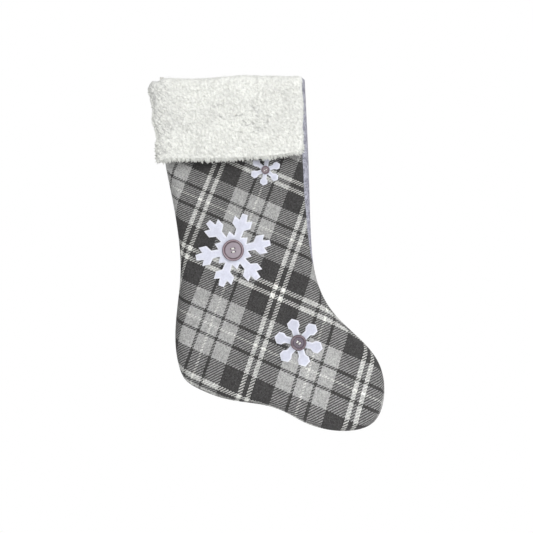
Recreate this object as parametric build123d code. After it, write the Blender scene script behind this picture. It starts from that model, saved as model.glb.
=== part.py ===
from build123d import *

import os
from math import cos, radians, sin

# Hanging Christmas stocking: a lined cloth stocking with a turned-down pile cuff, three felt
# snowflakes, each sewn on through a button, and a tape loop to hang it by.
#
# Millimetres. +X points to the toe, +Y into the wall that the stocking hangs against, +Z up. The
# origin is the centre of the back panel's top edge, on the panel's wall side.

os.makedirs("parts", exist_ok=True)

# --- Driving dimensions -------------------------------------------------------------------------
# Stocking: outline points as (x, z), from the mouth's heel-side corner round the foot.
HEEL_SIDE = [(-102, 0), (-88, -122), (-79, -167), (-72, -209), (-68, -262), (-75, -345), (-69.5, -395)]
SOLE = [(-62, -411), (-45, -423), (0, -439), (50, -447), (80, -458.5), (95, -467), (118, -476), (158, -481)]
TOE_SIDE = [(193, -470), (208.5, -428), (200, -387), (172, -353), (139, -320), (120, -286)]
SHIN_SIDE = [(109, -216), (105.5, -112), (102, -35), (100.5, 0)]
RISE_ABOVE_MOUTH = 20  # the outline runs on this far before the mouth cuts it off

BODY_DEPTH = 28  # wall face to front face
SEAM_Y = -14  # the front and back panels meet on this plane
EDGE_ROUND = 9
PANEL = 2.5  # cloth thickness of each outer panel
LINING = 0.8
LINING_GAP = 1.3  # room for the seam allowance and its thread
THREAD = 0.8
CLEAR = 0.3
CUTTER = (600, 200, 400)  # larger than anything that it cuts

# Mouth facing: the strip of pile cloth folded over the front panel's top edge.
FACING = 1.6
FACING_GAP = 0.6
FACING_FRONT_DROP = 14
FACING_INSIDE_DROP = 32
FRONT_TOP_Z = -2.5

# Cuff, hinged along its own rolled top edge.
CUFF_DEPTH = 12
CUFF_CLEAR = 2.5  # cuff to front panel, which leaves room for the snowflake under it
CUFF_LEFT_TOP, CUFF_LEFT_BOTTOM = -108, -100
CUFF_RIGHT = 98.6
CUFF_BOTTOM_LEFT_Z, CUFF_BOTTOM_RIGHT_Z = -118, -107
CUFF_CORNER = 8
CUFF_EDGE_ROUND = 4.5
BACKING = 1.6
BACKING_INSET = 5
HEM_FROM_EDGE = 12
HEM_STITCH, HEM_SPACING = 3.0, 4.2
HEM_MARGIN = 13  # from the cuff's sides to the first and last stitch
STITCH_THREAD = 0.2  # radius of the hem's and the tape's thread

# Hanging loop: one piece of tape, doubled, its two ends sewn inside the heel-side seam.
TAPE_WIDTH = 10
TAPE = 1.2
LOOP_PIVOT = (-92, -1.5)
LOOP_LENGTH = 62
LOOP_EYE_RADIUS = 7
LOOP_NECK = 22
LOOP_REST_LEAN = 15  # degrees from straight down, along the heel-side seam
TAIL_LENGTH = 15
TAIL_LEAN = 7  # degrees, along the inside of the heel-side seam
TAIL_BESIDE = 2 * TAPE + 0.5  # from the pivot to the tail's middle
STITCH_BOX_MARGIN = 2  # from the tape's edges to its box of stitches

# Snowflakes and buttons: centre (x, z), first arm's angle clockwise from +Z.
FELT = 1.6
BUTTON_GAP = 0.2
LARGE_AT, LARGE_TURN = (3.6, -236), 18.5
MEDIUM_AT, MEDIUM_TURN = (91.8, -360.7), -16
SMALL_AT, SMALL_TURN = (47.2, -127.7), 8.5
# One half of an arm as (radius, degrees from the arm's axis), from the tip inwards.
BRANCHED_ARM = [(51.3, 4.3), (42.1, 7), (46.9, 15.5), (36.8, 20.7), (29.5, 10.8), (20, 14.5)]
BRANCHED_SPIKE = 26.3
# One half of a paddle arm as (radius along the axis, half-width), from the tip inwards.
PADDLE_ARM = [(33.6, 0), (28.7, 8), (22, 8), (18, 4.6), (8.5, 4.6)]
PADDLE_HUB = 9.4
SMALL_SCALE = 21.3 / PADDLE_ARM[0][0]
ARMS = 6
# Each button: radius, height, width of the rim, depth of the dish, radius and pitch of its four
# holes, radius of its thread, and how far its holes are turned, anticlockwise.
LARGE_BUTTON = (14.6, 3.6, 2.9, 1.1, 1.05, 4.4, 0.55, 12)
MEDIUM_BUTTON = (10.8, 3.4, 3.2, 1.3, 1.0, 3.9, 0.5, 54)
SMALL_BUTTON = (5.7, 2.4, 1.3, 0.7, 0.65, 2.3, 0.35, -58)
RIM_BEVEL = 0.32  # of the button's height, on both sides of the rim
BACK_BEVEL = 0.8
THREAD_BEND = 2.2  # bend radius over the thread's own radius


# --- Helpers ------------------------------------------------------------------------------------
def facing_y(sketch, y):
    """A sketch drawn as (x, z), stood up on the plane at that y, with its normal towards -Y."""
    return Plane(origin=(0, y, 0), x_dir=(1, 0, 0), z_dir=(0, -1, 0)) * sketch


def slab(sketch, y_back, depth):
    """A plate of that outline from y_back, depth thick towards -Y."""
    return extrude(facing_y(sketch, y_back), amount=depth, dir=(0, -1, 0))


def keep_below(solid, z):
    """What is left of a solid after everything above z is cut away."""
    return solid - Pos(0, 0, z) * Box(*CUTTER, align=(Align.CENTER, Align.CENTER, Align.MIN))


def save(node, shape):
    shape.label = node
    export_step(shape, f"parts/{node}.step")


# --- Stocking body ------------------------------------------------------------------------------
def stocking_edge():
    """The stocking's edge from one side of the mouth round the foot to the other."""
    left_top = (HEEL_SIDE[0][0] - 2.5, RISE_ABOVE_MOUTH)
    right_top = (SHIN_SIDE[-1][0] - 0.7, RISE_ABOVE_MOUTH)
    return Spline(left_top, *HEEL_SIDE, *SOLE, *TOE_SIDE, *SHIN_SIDE, right_top)


EDGE = stocking_edge()
STATIONS = 48  # points that the edge is moved inwards by


def outline(inset):
    """The flat outline moved inwards by inset, running on above the mouth."""
    stations = [i / STATIONS for i in range(STATIONS + 1)]
    edge = Spline(*(EDGE @ t + inset * (EDGE % t).rotate(Axis.Z, 90) for t in stations))
    return make_face([edge, Line(edge @ 1, edge @ 0)])


def tray(inset, cloth, seam_y, outer_y, top_z=0):
    """Half of a hollow bag: a plate of cloth at outer_y with a rim that reaches back to seam_y."""
    towards = 1 if outer_y > seam_y else -1
    reach = abs(outer_y - seam_y)
    normal = (0, towards, 0)

    def block(extra):
        face = facing_y(outline(inset + extra), seam_y)
        solid = extrude(face, amount=reach - extra, dir=normal)
        outer = solid.faces().sort_by(Axis.Y)[-1 if towards > 0 else 0]
        rounded = fillet(outer.edges().sort_by(SortBy.LENGTH)[-1], EDGE_ROUND - inset - extra)
        return keep_below(rounded, top_z)

    return block(0) - block(cloth)


def panels():
    save("front_panel", tray(0, PANEL, SEAM_Y, -BODY_DEPTH, FRONT_TOP_Z))
    save("back_panel", tray(0, PANEL, SEAM_Y, 0))


def linings():
    inset = PANEL + LINING_GAP
    near, far = -BODY_DEPTH + PANEL + CLEAR, -PANEL - CLEAR
    save("front_lining", tray(inset, LINING, SEAM_Y, near, FRONT_TOP_Z))
    save("back_lining", tray(inset, LINING, SEAM_Y, far))


def side_seam_thread():
    """The lockstitch line that closes the side and sole seam, on the inside of the panels."""
    outer, inner = PANEL + CLEAR / 2, PANEL + CLEAR / 2 + THREAD
    top = FRONT_TOP_Z - 4
    filled = keep_below(slab(outline(outer), SEAM_Y + THREAD / 2, THREAD), top)
    middle = keep_below(slab(outline(inner), SEAM_Y + THREAD / 2, THREAD), top)
    save("side_seam_thread", filled - middle)


# --- Mouth facing and cuff ----------------------------------------------------------------------
CUFF_BACK_Y = -BODY_DEPTH - CUFF_CLEAR
CUFF_RADIUS = CUFF_DEPTH / 2
CUFF_AXIS_Y = CUFF_BACK_Y - CUFF_RADIUS
CUFF_AXIS_Z = -CUFF_RADIUS
FACING_LEFT, FACING_RIGHT = -88, 84


def mouth_facing():
    """Pile cloth over the front panel's top edge: a channel, its long leg inside the mouth."""
    front = -BODY_DEPTH - FACING_GAP
    inside = -BODY_DEPTH + PANEL + CLEAR + LINING + CLEAR
    profile = Polyline(
        (front - FACING, 0),
        (inside + FACING, 0),
        (inside + FACING, -FACING_INSIDE_DROP),
        (inside, -FACING_INSIDE_DROP),
        (inside, -FACING),
        (front, -FACING),
        (front, -FACING_FRONT_DROP),
        (front - FACING, -FACING_FRONT_DROP),
        close=True,
    )
    section = Plane(origin=(FACING_LEFT, 0, 0), x_dir=(0, 1, 0), z_dir=(1, 0, 0)) * make_face(profile)
    save("mouth_facing", extrude(section, amount=FACING_RIGHT - FACING_LEFT, dir=(1, 0, 0)))

    thread = Cylinder(FACING_GAP / 2 - 0.05, FACING_RIGHT - FACING_LEFT - 6, rotation=(0, 90, 0))
    middle = (FACING_LEFT + FACING_RIGHT) / 2
    save("facing_thread", Pos(middle, -BODY_DEPTH - FACING_GAP / 2, -10) * thread)


def cuff_outline(inset=0, top_z=CUFF_AXIS_Z):
    """The cuff's flat outline below top_z, with its two lower corners rounded."""
    shape = make_face(
        Polyline(
            (CUFF_LEFT_TOP + inset, top_z),
            (CUFF_RIGHT - inset, top_z),
            (CUFF_RIGHT - inset, CUFF_BOTTOM_RIGHT_Z + inset),
            (CUFF_LEFT_BOTTOM + inset, CUFF_BOTTOM_LEFT_Z + inset),
            close=True,
        )
    )
    return fillet(shape.vertices().group_by(Axis.Y)[0] + shape.vertices().group_by(Axis.Y)[1], CUFF_CORNER)


def cuff_roll(radius, x_low, x_high):
    """The rolled top edge: a rod along X on the cuff's hinge axis."""
    rod = Cylinder(radius, x_high - x_low, rotation=(0, 90, 0))
    return Pos((x_low + x_high) / 2, CUFF_AXIS_Y, CUFF_AXIS_Z) * rod


def cuff():
    """The pile band with its rolled top, the plain backing behind it and the hem's stitches."""
    front_y = CUFF_BACK_Y - CUFF_DEPTH
    band_back = CUFF_BACK_Y - BACKING - CLEAR
    block = slab(cuff_outline(), band_back, band_back - front_y)
    front_face = block.faces().sort_by(Axis.Y)[0]
    rounded = [e for e in front_face.edges() if e.center().Z < CUFF_AXIS_Z - 1]
    block = fillet(rounded, CUFF_EDGE_ROUND)
    roll = cuff_roll(CUFF_RADIUS, CUFF_LEFT_TOP, CUFF_RIGHT)
    save("cuff_band", block + roll)

    backing_top = CUFF_AXIS_Z - CUFF_RADIUS - CLEAR
    save("cuff_backing", slab(cuff_outline(BACKING_INSET, backing_top), CUFF_BACK_Y, BACKING))

    slope = (CUFF_BOTTOM_RIGHT_Z - CUFF_BOTTOM_LEFT_Z) / (CUFF_RIGHT - CUFF_LEFT_BOTTOM)
    room = CUFF_RIGHT - CUFF_LEFT_BOTTOM - 2 * HEM_MARGIN
    stitches = []
    for i in range(int(room / HEM_SPACING)):
        along = HEM_MARGIN + i * HEM_SPACING
        z = CUFF_BOTTOM_LEFT_Z + slope * along + HEM_FROM_EDGE
        rod = Cylinder(STITCH_THREAD, HEM_STITCH, rotation=(0, 90, 0))
        stitches.append(Pos(CUFF_LEFT_BOTTOM + along, CUFF_BACK_Y + STITCH_THREAD, z) * rod)
    save("cuff_hem_thread", Compound(stitches))


# --- Hanging loop -------------------------------------------------------------------------------
def loop_profile():
    """The doubled tape in its own plane, hanging straight down from the pivot at (0, 0)."""
    eye_z = -(LOOP_LENGTH - LOOP_EYE_RADIUS - TAPE)
    outer = LOOP_EYE_RADIUS + TAPE

    def teardrop(half_neck, radius):
        neck_z = -LOOP_NECK
        right = Spline(
            (half_neck, neck_z), (radius, eye_z), tangents=[(0.12, -1), (0, -1)], tangent_scalars=(1, 1)
        )
        left = Spline(
            (-radius, eye_z), (-half_neck, neck_z), tangents=[(0, 1), (0.12, 1)], tangent_scalars=(1, 1)
        )
        bottom = RadiusArc((radius, eye_z), (-radius, eye_z), radius)
        return make_face([right, bottom, left, Line((-half_neck, neck_z), (half_neck, neck_z))])

    stem = Pos(0, -LOOP_NECK / 2) * Rectangle(2 * TAPE, LOOP_NECK + 0.02)
    return teardrop(TAPE, outer) + stem - teardrop(0.02, LOOP_EYE_RADIUS)


def hanging_loop():
    """The free loop, the sewn tail beside it on the seam, and the tail's box of stitches."""
    x_pivot, z_pivot = LOOP_PIVOT
    middle_y = SEAM_Y + TAPE_WIDTH / 2
    flat = Pos(x_pivot, z_pivot) * (Rot(0, 0, LOOP_REST_LEAN) * loop_profile())
    save("hanging_loop", slab(flat, middle_y, TAPE_WIDTH))

    tail = Pos(0, -TAIL_LENGTH / 2) * Rectangle(2 * TAPE, TAIL_LENGTH)
    place = Pos(x_pivot - TAIL_BESIDE, z_pivot + 0.5) * Rot(0, 0, TAIL_LEAN)
    save("loop_tail", slab(place * tail, middle_y, TAPE_WIDTH))

    bars = []
    half_width = TAPE_WIDTH / 2 - STITCH_BOX_MARGIN
    top, bottom = -STITCH_BOX_MARGIN, STITCH_BOX_MARGIN - TAIL_LENGTH
    for y in (-half_width, half_width):
        bars.append(Pos(0, y, (top + bottom) / 2) * Cylinder(STITCH_THREAD, top - bottom - 1))
    for z in (top, bottom):
        bars.append(Pos(0, 0, z) * Cylinder(STITCH_THREAD, 2 * half_width - 1, rotation=(90, 0, 0)))
    spot = Pos(x_pivot - TAIL_BESIDE, SEAM_Y, z_pivot + 0.5) * Rot(0, -TAIL_LEAN, 0)
    save("loop_stitches", spot * Pos(TAPE + STITCH_THREAD, 0, 0) * Compound(bars))


# --- Snowflakes and buttons ---------------------------------------------------------------------
def polar(radius, degrees_clockwise):
    """(x, z) of a point at that radius and angle clockwise from +Z."""
    a = radians(degrees_clockwise)
    return (radius * sin(a), radius * cos(a))


def branched_snowflake():
    """Six three-pronged arms with a short spike between each two."""
    points = []
    for arm in range(ARMS):
        axis = 360 / ARMS * arm
        points += [polar(r, axis - a) for r, a in reversed(BRANCHED_ARM)]
        points += [polar(r, axis + a) for r, a in BRANCHED_ARM]
        points.append(polar(BRANCHED_SPIKE, axis + 180 / ARMS))
    return make_face(Polyline(*points, close=True))


def paddle_snowflake(scale):
    """Six narrow arms that widen to a six-cornered paddle."""
    right = [(half_width * scale, radius * scale) for radius, half_width in PADDLE_ARM]
    left = [(-x, z) for x, z in reversed(right[1:])]
    arm = make_face(Polyline(*left, *right, (0, 0), close=True))
    shape = Circle(PADDLE_HUB * scale)
    for i in range(ARMS):
        shape += Rot(0, 0, 360 / ARMS * i) * arm
    return shape


def button(radius, height, rim, dish, hole_radius, hole_pitch, turn):
    """A four-hole button with a rounded rim round a dished middle, its back on z = 0."""
    bevel = RIM_BEVEL * height
    profile = make_face(
        Polyline(
            (0, 0),
            (radius - BACK_BEVEL, 0),
            (radius, BACK_BEVEL),
            (radius, height - bevel),
            (radius - bevel, height),
            (radius - rim + bevel, height),
            (radius - rim, height - dish),
            (0, height - dish),
            close=True,
        )
    )
    body = revolve(Plane.XZ * profile, Axis.Z)
    spots = GridLocations(hole_pitch, hole_pitch, 2, 2)
    return body - [Rot(0, 0, turn) * (spot * Cylinder(hole_radius, 4 * height)) for spot in spots]


def thread_staples(top, legs, hole_pitch, turn, radius):
    """Two parallel strands, each over one pair of holes with a leg down through each hole."""
    staples = []
    half = hole_pitch / 2
    for side in (-half, half):
        corners = [(-half, side, -legs), (-half, side, top), (half, side, top), (half, side, -legs)]
        path = FilletPolyline(*corners, radius=THREAD_BEND * radius)
        circle = Plane(origin=corners[0], z_dir=(0, 0, 1)) * Circle(radius)
        staples.append(sweep(circle, path=path))
    return Rot(0, 0, turn) * Compound(staples)


def ornament(name, flake, at, turn, sizes):
    """A snowflake flat on the front panel, its button on top and the thread that holds both."""
    radius, height, rim, dish, hole_radius, hole_pitch, thread_radius, button_turn = sizes
    x, z = at
    back = -BODY_DEPTH - CLEAR
    flat = Pos(x, z) * (Rot(0, 0, -turn) * flake)
    save(f"{name}_snowflake", slab(flat, back, FELT))

    seat = Pos(x, back - FELT - BUTTON_GAP, z) * Rot(90, 0, 0)
    save(f"{name}_button", seat * button(radius, height, rim, dish, hole_radius, hole_pitch, button_turn))

    top = height - dish + thread_radius + 0.05
    staples = thread_staples(top, BUTTON_GAP / 2, hole_pitch, button_turn, thread_radius)
    save(f"{name}_button_thread", seat * staples)


def ornaments():
    ornament("large", branched_snowflake(), LARGE_AT, LARGE_TURN, LARGE_BUTTON)
    ornament("medium", paddle_snowflake(1), MEDIUM_AT, MEDIUM_TURN, MEDIUM_BUTTON)
    ornament("small", paddle_snowflake(SMALL_SCALE), SMALL_AT, SMALL_TURN, SMALL_BUTTON)


panels()
linings()
side_seam_thread()
mouth_facing()
cuff()
hanging_loop()
ornaments()
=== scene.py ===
"""Hanging tartan stocking with a turned-down pile cuff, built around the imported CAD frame.

Metres. +X to the toe, +Y into the wall, +Z up, as in the CAD.
"""

from math import cos, pi, radians, sin, sqrt

import bpy
import numpy as np
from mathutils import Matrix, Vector, kdtree, noise
from mathutils.geometry import delaunay_2d_cdt


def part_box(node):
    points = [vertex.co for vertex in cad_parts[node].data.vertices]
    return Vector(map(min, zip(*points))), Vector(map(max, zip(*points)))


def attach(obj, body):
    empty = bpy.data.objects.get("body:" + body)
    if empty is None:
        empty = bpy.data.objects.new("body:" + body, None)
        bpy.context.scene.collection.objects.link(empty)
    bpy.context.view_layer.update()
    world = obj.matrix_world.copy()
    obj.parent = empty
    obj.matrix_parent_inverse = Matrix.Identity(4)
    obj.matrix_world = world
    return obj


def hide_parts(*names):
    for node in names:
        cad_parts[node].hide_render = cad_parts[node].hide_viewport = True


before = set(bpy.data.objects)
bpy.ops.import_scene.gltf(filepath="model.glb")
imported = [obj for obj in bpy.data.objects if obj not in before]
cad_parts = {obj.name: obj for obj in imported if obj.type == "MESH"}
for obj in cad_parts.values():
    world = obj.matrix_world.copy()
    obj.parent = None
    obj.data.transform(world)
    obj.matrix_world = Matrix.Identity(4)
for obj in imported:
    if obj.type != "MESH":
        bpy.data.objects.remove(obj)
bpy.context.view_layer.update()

scene = bpy.context.scene
MM = 0.001
SLACK = 0.006  # how much larger than its place the cloth is cut
SLACK_FRAMES = 14
rng = np.random.default_rng(7)

# --- Camera -------------------------------------------------------------------------------------
CAMERA_DISTANCE = 2.4
VIEW_WIDTH = 0.7196  # metres across the picture, at the front of the stocking
FRONT_Y = -28 * MM
CAMERA_X, CAMERA_Z = 48.6 * MM, -257.9 * MM

camera = bpy.data.objects.new("camera", bpy.data.cameras.new("camera"))
scene.collection.objects.link(camera)
camera.location = (CAMERA_X, FRONT_Y - CAMERA_DISTANCE, CAMERA_Z)
camera.rotation_euler = (pi / 2, 0, 0)
camera.data.sensor_width = 36
camera.data.lens = camera.data.sensor_width * CAMERA_DISTANCE / VIEW_WIDTH
scene.camera = camera


# --- Curves in the plane ------------------------------------------------------------------------
def run_of(line):
    """How far along a line each of its points is."""
    return np.concatenate([[0], np.cumsum(np.linalg.norm(np.diff(line, axis=0), axis=1))])


def smooth_curve(points, step):
    """Points step apart along the natural cubic spline through the given ones."""
    p = np.asarray(points, float)
    t = run_of(p)
    n, h = len(p), np.diff(t)
    a, b = np.eye(n), np.zeros(p.shape)
    for i in range(1, n - 1):
        a[i, i - 1 : i + 2] = h[i - 1], 2 * (h[i - 1] + h[i]), h[i]
        b[i] = 6 * ((p[i + 1] - p[i]) / h[i] - (p[i] - p[i - 1]) / h[i - 1])
    bend = np.linalg.solve(a, b)
    s = np.linspace(0, t[-1], 1500)
    k = np.clip(np.searchsorted(t, s) - 1, 0, n - 2)
    left, right, w = (t[k + 1] - s)[:, None], (s - t[k])[:, None], h[k][:, None]
    dense = (bend[k] * left**3 + bend[k + 1] * right**3) / (6 * w)
    dense += (p[k] / w - bend[k] * w / 6) * left + (p[k + 1] / w - bend[k + 1] * w / 6) * right
    return evenly(dense, step)


def evenly(line, step):
    """A dense line's points again, step apart, with both its ends kept."""
    run = run_of(line)
    at = np.linspace(0, run[-1], max(2, int(round(run[-1] / step)) + 1))
    return np.stack([np.interp(at, run, line[:, k]) for k in range(line.shape[1])], axis=1)


def clean_loop(points, least):
    """A closed loop without points nearer than least to the one before."""
    kept = [points[0]]
    for p in points[1:]:
        if np.linalg.norm(p - kept[-1]) > least:
            kept.append(p)
    if np.linalg.norm(kept[-1] - kept[0]) <= least:
        kept.pop()
    return np.array(kept)


def tree_of(points):
    tree = kdtree.KDTree(len(points))
    for i, p in enumerate(points):
        tree.insert((p[0], p[1], 0), i)
    tree.balance()
    return tree


def nearest(tree, points):
    return np.array([tree.find((p[0], p[1], 0))[2] for p in points])


def square_to(run):
    """Unit vectors a quarter turn clockwise from the given (x, z) ones."""
    return np.stack([run[:, 1], -run[:, 0]], axis=1) / np.linalg.norm(run, axis=1)[:, None]


def quarter_round(away, reach):
    """From 0 on an edge to 1 at reach from it, along a quarter of a circle."""
    t = np.clip(away / reach, 0, 1)
    return np.sqrt(1 - (1 - t) ** 2)


def inside(loop, points):
    """Which points lie inside a closed loop, by crossings."""
    x, z = points[:, 0][:, None], points[:, 1][:, None]
    x0, z0 = loop[:, 0][None], loop[:, 1][None]
    x1, z1 = np.roll(x0, -1, 1), np.roll(z0, -1, 1)
    crosses = (z0 > z) != (z1 > z)
    with np.errstate(divide="ignore", invalid="ignore"):
        at = x0 + (z - z0) * (x1 - x0) / (z1 - z0)
    return (np.sum(crosses & (x < at), axis=1) % 2) == 1


def triangulate(loops, spacing, extra=None, fill=True):
    """Triangles over the area in the first loop and outside the others, spacing apart inside.
    extra are more points to use, and fill says whether a grid of them fills the rest."""
    border = np.concatenate(loops)
    edges, first = [], 0
    for loop in loops:
        n = len(loop)
        edges += [(first + i, first + (i + 1) % n) for i in range(n)]
        first += n
    low, high = border.min(0), border.max(0)
    rows = np.arange(low[1], high[1], spacing * sqrt(3) / 2)
    grid = [
        (x + (r % 2) * spacing / 2, z)
        for r, z in enumerate(rows)
        for x in np.arange(low[0], high[0] + spacing, spacing)
    ]
    grid = np.array(grid)
    grid = grid[inside(loops[0], grid)]
    for hole in loops[1:]:
        grid = grid[~inside(hole, grid)]
    if extra is not None:
        border = np.concatenate([border, extra])
    grid = grid[nearest(tree_of(border), grid) > 0.6 * spacing] if fill else grid[:0]
    verts = [Vector(p) for p in np.concatenate([border, grid])]
    found, _, faces, *_ = delaunay_2d_cdt(verts, edges, [], 0, 1e-9)
    points = np.array([(p.x, p.y) for p in found])
    faces = np.array([f for f in faces if len(f) == 3])
    middle = points[faces].mean(1)
    keep = inside(loops[0], middle)
    for hole in loops[1:]:
        keep &= ~inside(hole, middle)
    return points, faces[keep]


# --- Meshes -------------------------------------------------------------------------------------
def add_mesh(name, verts, faces, material, slot, body, uv=None):
    """A piece from an array of points and an array of faces, riding on a body."""
    me = bpy.data.meshes.new(name)
    verts, faces = np.asarray(verts, float), np.asarray(faces, np.int32)
    me.vertices.add(len(verts))
    me.vertices.foreach_set("co", verts.ravel())
    sides = faces.shape[1]
    me.loops.add(faces.size)
    me.loops.foreach_set("vertex_index", faces.ravel())
    me.polygons.add(len(faces))
    me.polygons.foreach_set("loop_start", np.arange(0, faces.size, sides, dtype=np.int32))
    me.update(calc_edges=True)
    me.validate()
    me.polygons.foreach_set("use_smooth", np.ones(len(me.polygons), bool))
    if uv is not None:
        layer = me.uv_layers.new(name="cloth")
        layer.data.foreach_set("uv", np.asarray(uv, float)[faces.ravel()].ravel())
    me.materials.append(material)
    ob = bpy.data.objects.new(name, me)
    scene.collection.objects.link(ob)
    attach(ob, body)
    return ob


def apply_modifiers(ob):
    """Replaces the mesh with what its modifiers make of it."""
    depsgraph = bpy.context.evaluated_depsgraph_get()
    me = bpy.data.meshes.new_from_object(ob.evaluated_get(depsgraph))
    ob.modifiers.clear()
    ob.data = me


def thicken(ob, thickness, offset=-1.0, levels=0):
    """Gives a single layer of cloth its thickness, after smoothing it."""
    if levels:
        sub = ob.modifiers.new("smooth", "SUBSURF")
        sub.levels = sub.render_levels = levels
    solid = ob.modifiers.new("cloth", "SOLIDIFY")
    solid.thickness = thickness
    solid.offset = offset
    apply_modifiers(ob)


def slacken(ob, held, most):
    """Lets a sheet's slack settle into shallow buckles in a short cloth simulation without gravity.
    held says which points stay, and most how far each of the others may move, in metres."""
    group = ob.vertex_groups.new(name="held")
    group.add([int(i) for i in np.nonzero(held)[0]], 1.0, "REPLACE")
    settings = ob.modifiers.new("slack", "CLOTH").settings
    settings.quality = 6
    settings.mass = 0.15
    settings.tension_stiffness = settings.compression_stiffness = 30
    settings.shear_stiffness = 15
    settings.bending_stiffness = 1.5
    settings.air_damping = 2
    settings.shrink_min = -SLACK
    settings.vertex_group_mass = "held"
    settings.effector_weights.gravity = 0
    for frame_number in range(1, SLACK_FRAMES + 1):
        scene.frame_set(frame_number)
    settled = ob.evaluated_get(bpy.context.evaluated_depsgraph_get()).to_mesh()
    before, after = np.empty(3 * len(ob.data.vertices)), np.empty(3 * len(settled.vertices))
    ob.data.vertices.foreach_get("co", before)
    settled.vertices.foreach_get("co", after)
    moved = (after - before).reshape(-1, 3)
    length = np.linalg.norm(moved, axis=1)
    share = np.where(held, 0.0, np.minimum(1.0, most / np.maximum(length, 1e-9)))
    ob.modifiers.clear()
    ob.vertex_groups.clear()
    ob.data.vertices.foreach_set("co", before + (moved * share[:, None]).ravel())
    ob.data.update()
    scene.frame_set(1)


def sideways(line, normal):
    """The unit directions along a line of points, to its side, and up, which is kept near to normal."""
    along = np.gradient(line, axis=0)
    along /= np.linalg.norm(along, axis=1)[:, None]
    side = np.cross(along, normal)
    side /= np.linalg.norm(side, axis=1)[:, None]
    return side, np.cross(side, along)


def sweep(line, section, normal):
    """Vertices, quads and cloth coordinates of a section carried along a line. section is a loop of
    (side, up) points, with up kept as near to normal as the line allows."""
    side, up = sideways(line, normal)
    rings = line[:, None] + side[:, None] * section[:, :1] + up[:, None] * section[:, 1:]
    n, m = len(line), len(section)
    a, j = np.meshgrid(np.arange(n - 1) * m, np.arange(m), indexing="ij")
    k = (j + 1) % m
    quads = np.stack([a + j, a + m + j, a + m + k, a + k], axis=-1).reshape(-1, 4)
    runs = np.broadcast_arrays(run_of(line)[:, None], run_of(section)[None])
    uv = np.stack(runs, axis=-1).reshape(-1, 2) / MM
    # Each end is closed with a fan of quads round a middle point.
    verts = np.concatenate([rings.reshape(-1, 3), [rings[0].mean(0), rings[-1].mean(0)]])
    last = (n - 1) * m
    caps = [[n * m, (i + 2) % m, (i + 1) % m, i] for i in range(0, m, 2)]
    caps += [[n * m + 1, last + i, last + (i + 1) % m, last + (i + 2) % m] for i in range(0, m, 2)]
    return verts, np.concatenate([quads, caps]), np.concatenate([uv, uv[:2]])


def circle(radius, count, centre=(0, 0)):
    """That many (x, z) points round a circle."""
    a = np.arange(count) * 2 * pi / count
    return centre + radius * np.stack([np.cos(a), np.sin(a)], axis=1)


def join(parts):
    """One array of points and one of faces from several."""
    verts, faces, first = [], [], 0
    for v, f, *_ in parts:
        verts.append(v)
        faces.append(np.asarray(f) + first)
        first += len(v)
    return np.concatenate(verts), np.concatenate(faces)


def ripple(points, size, seed, octaves=2):
    """Smooth noise from about -1 to 1 at each (x, z), with features about size across."""
    return np.array(
        [noise.fractal((p[0] / size, p[1] / size, seed), 1.0, 2.0, octaves) for p in points]
    )


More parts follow.
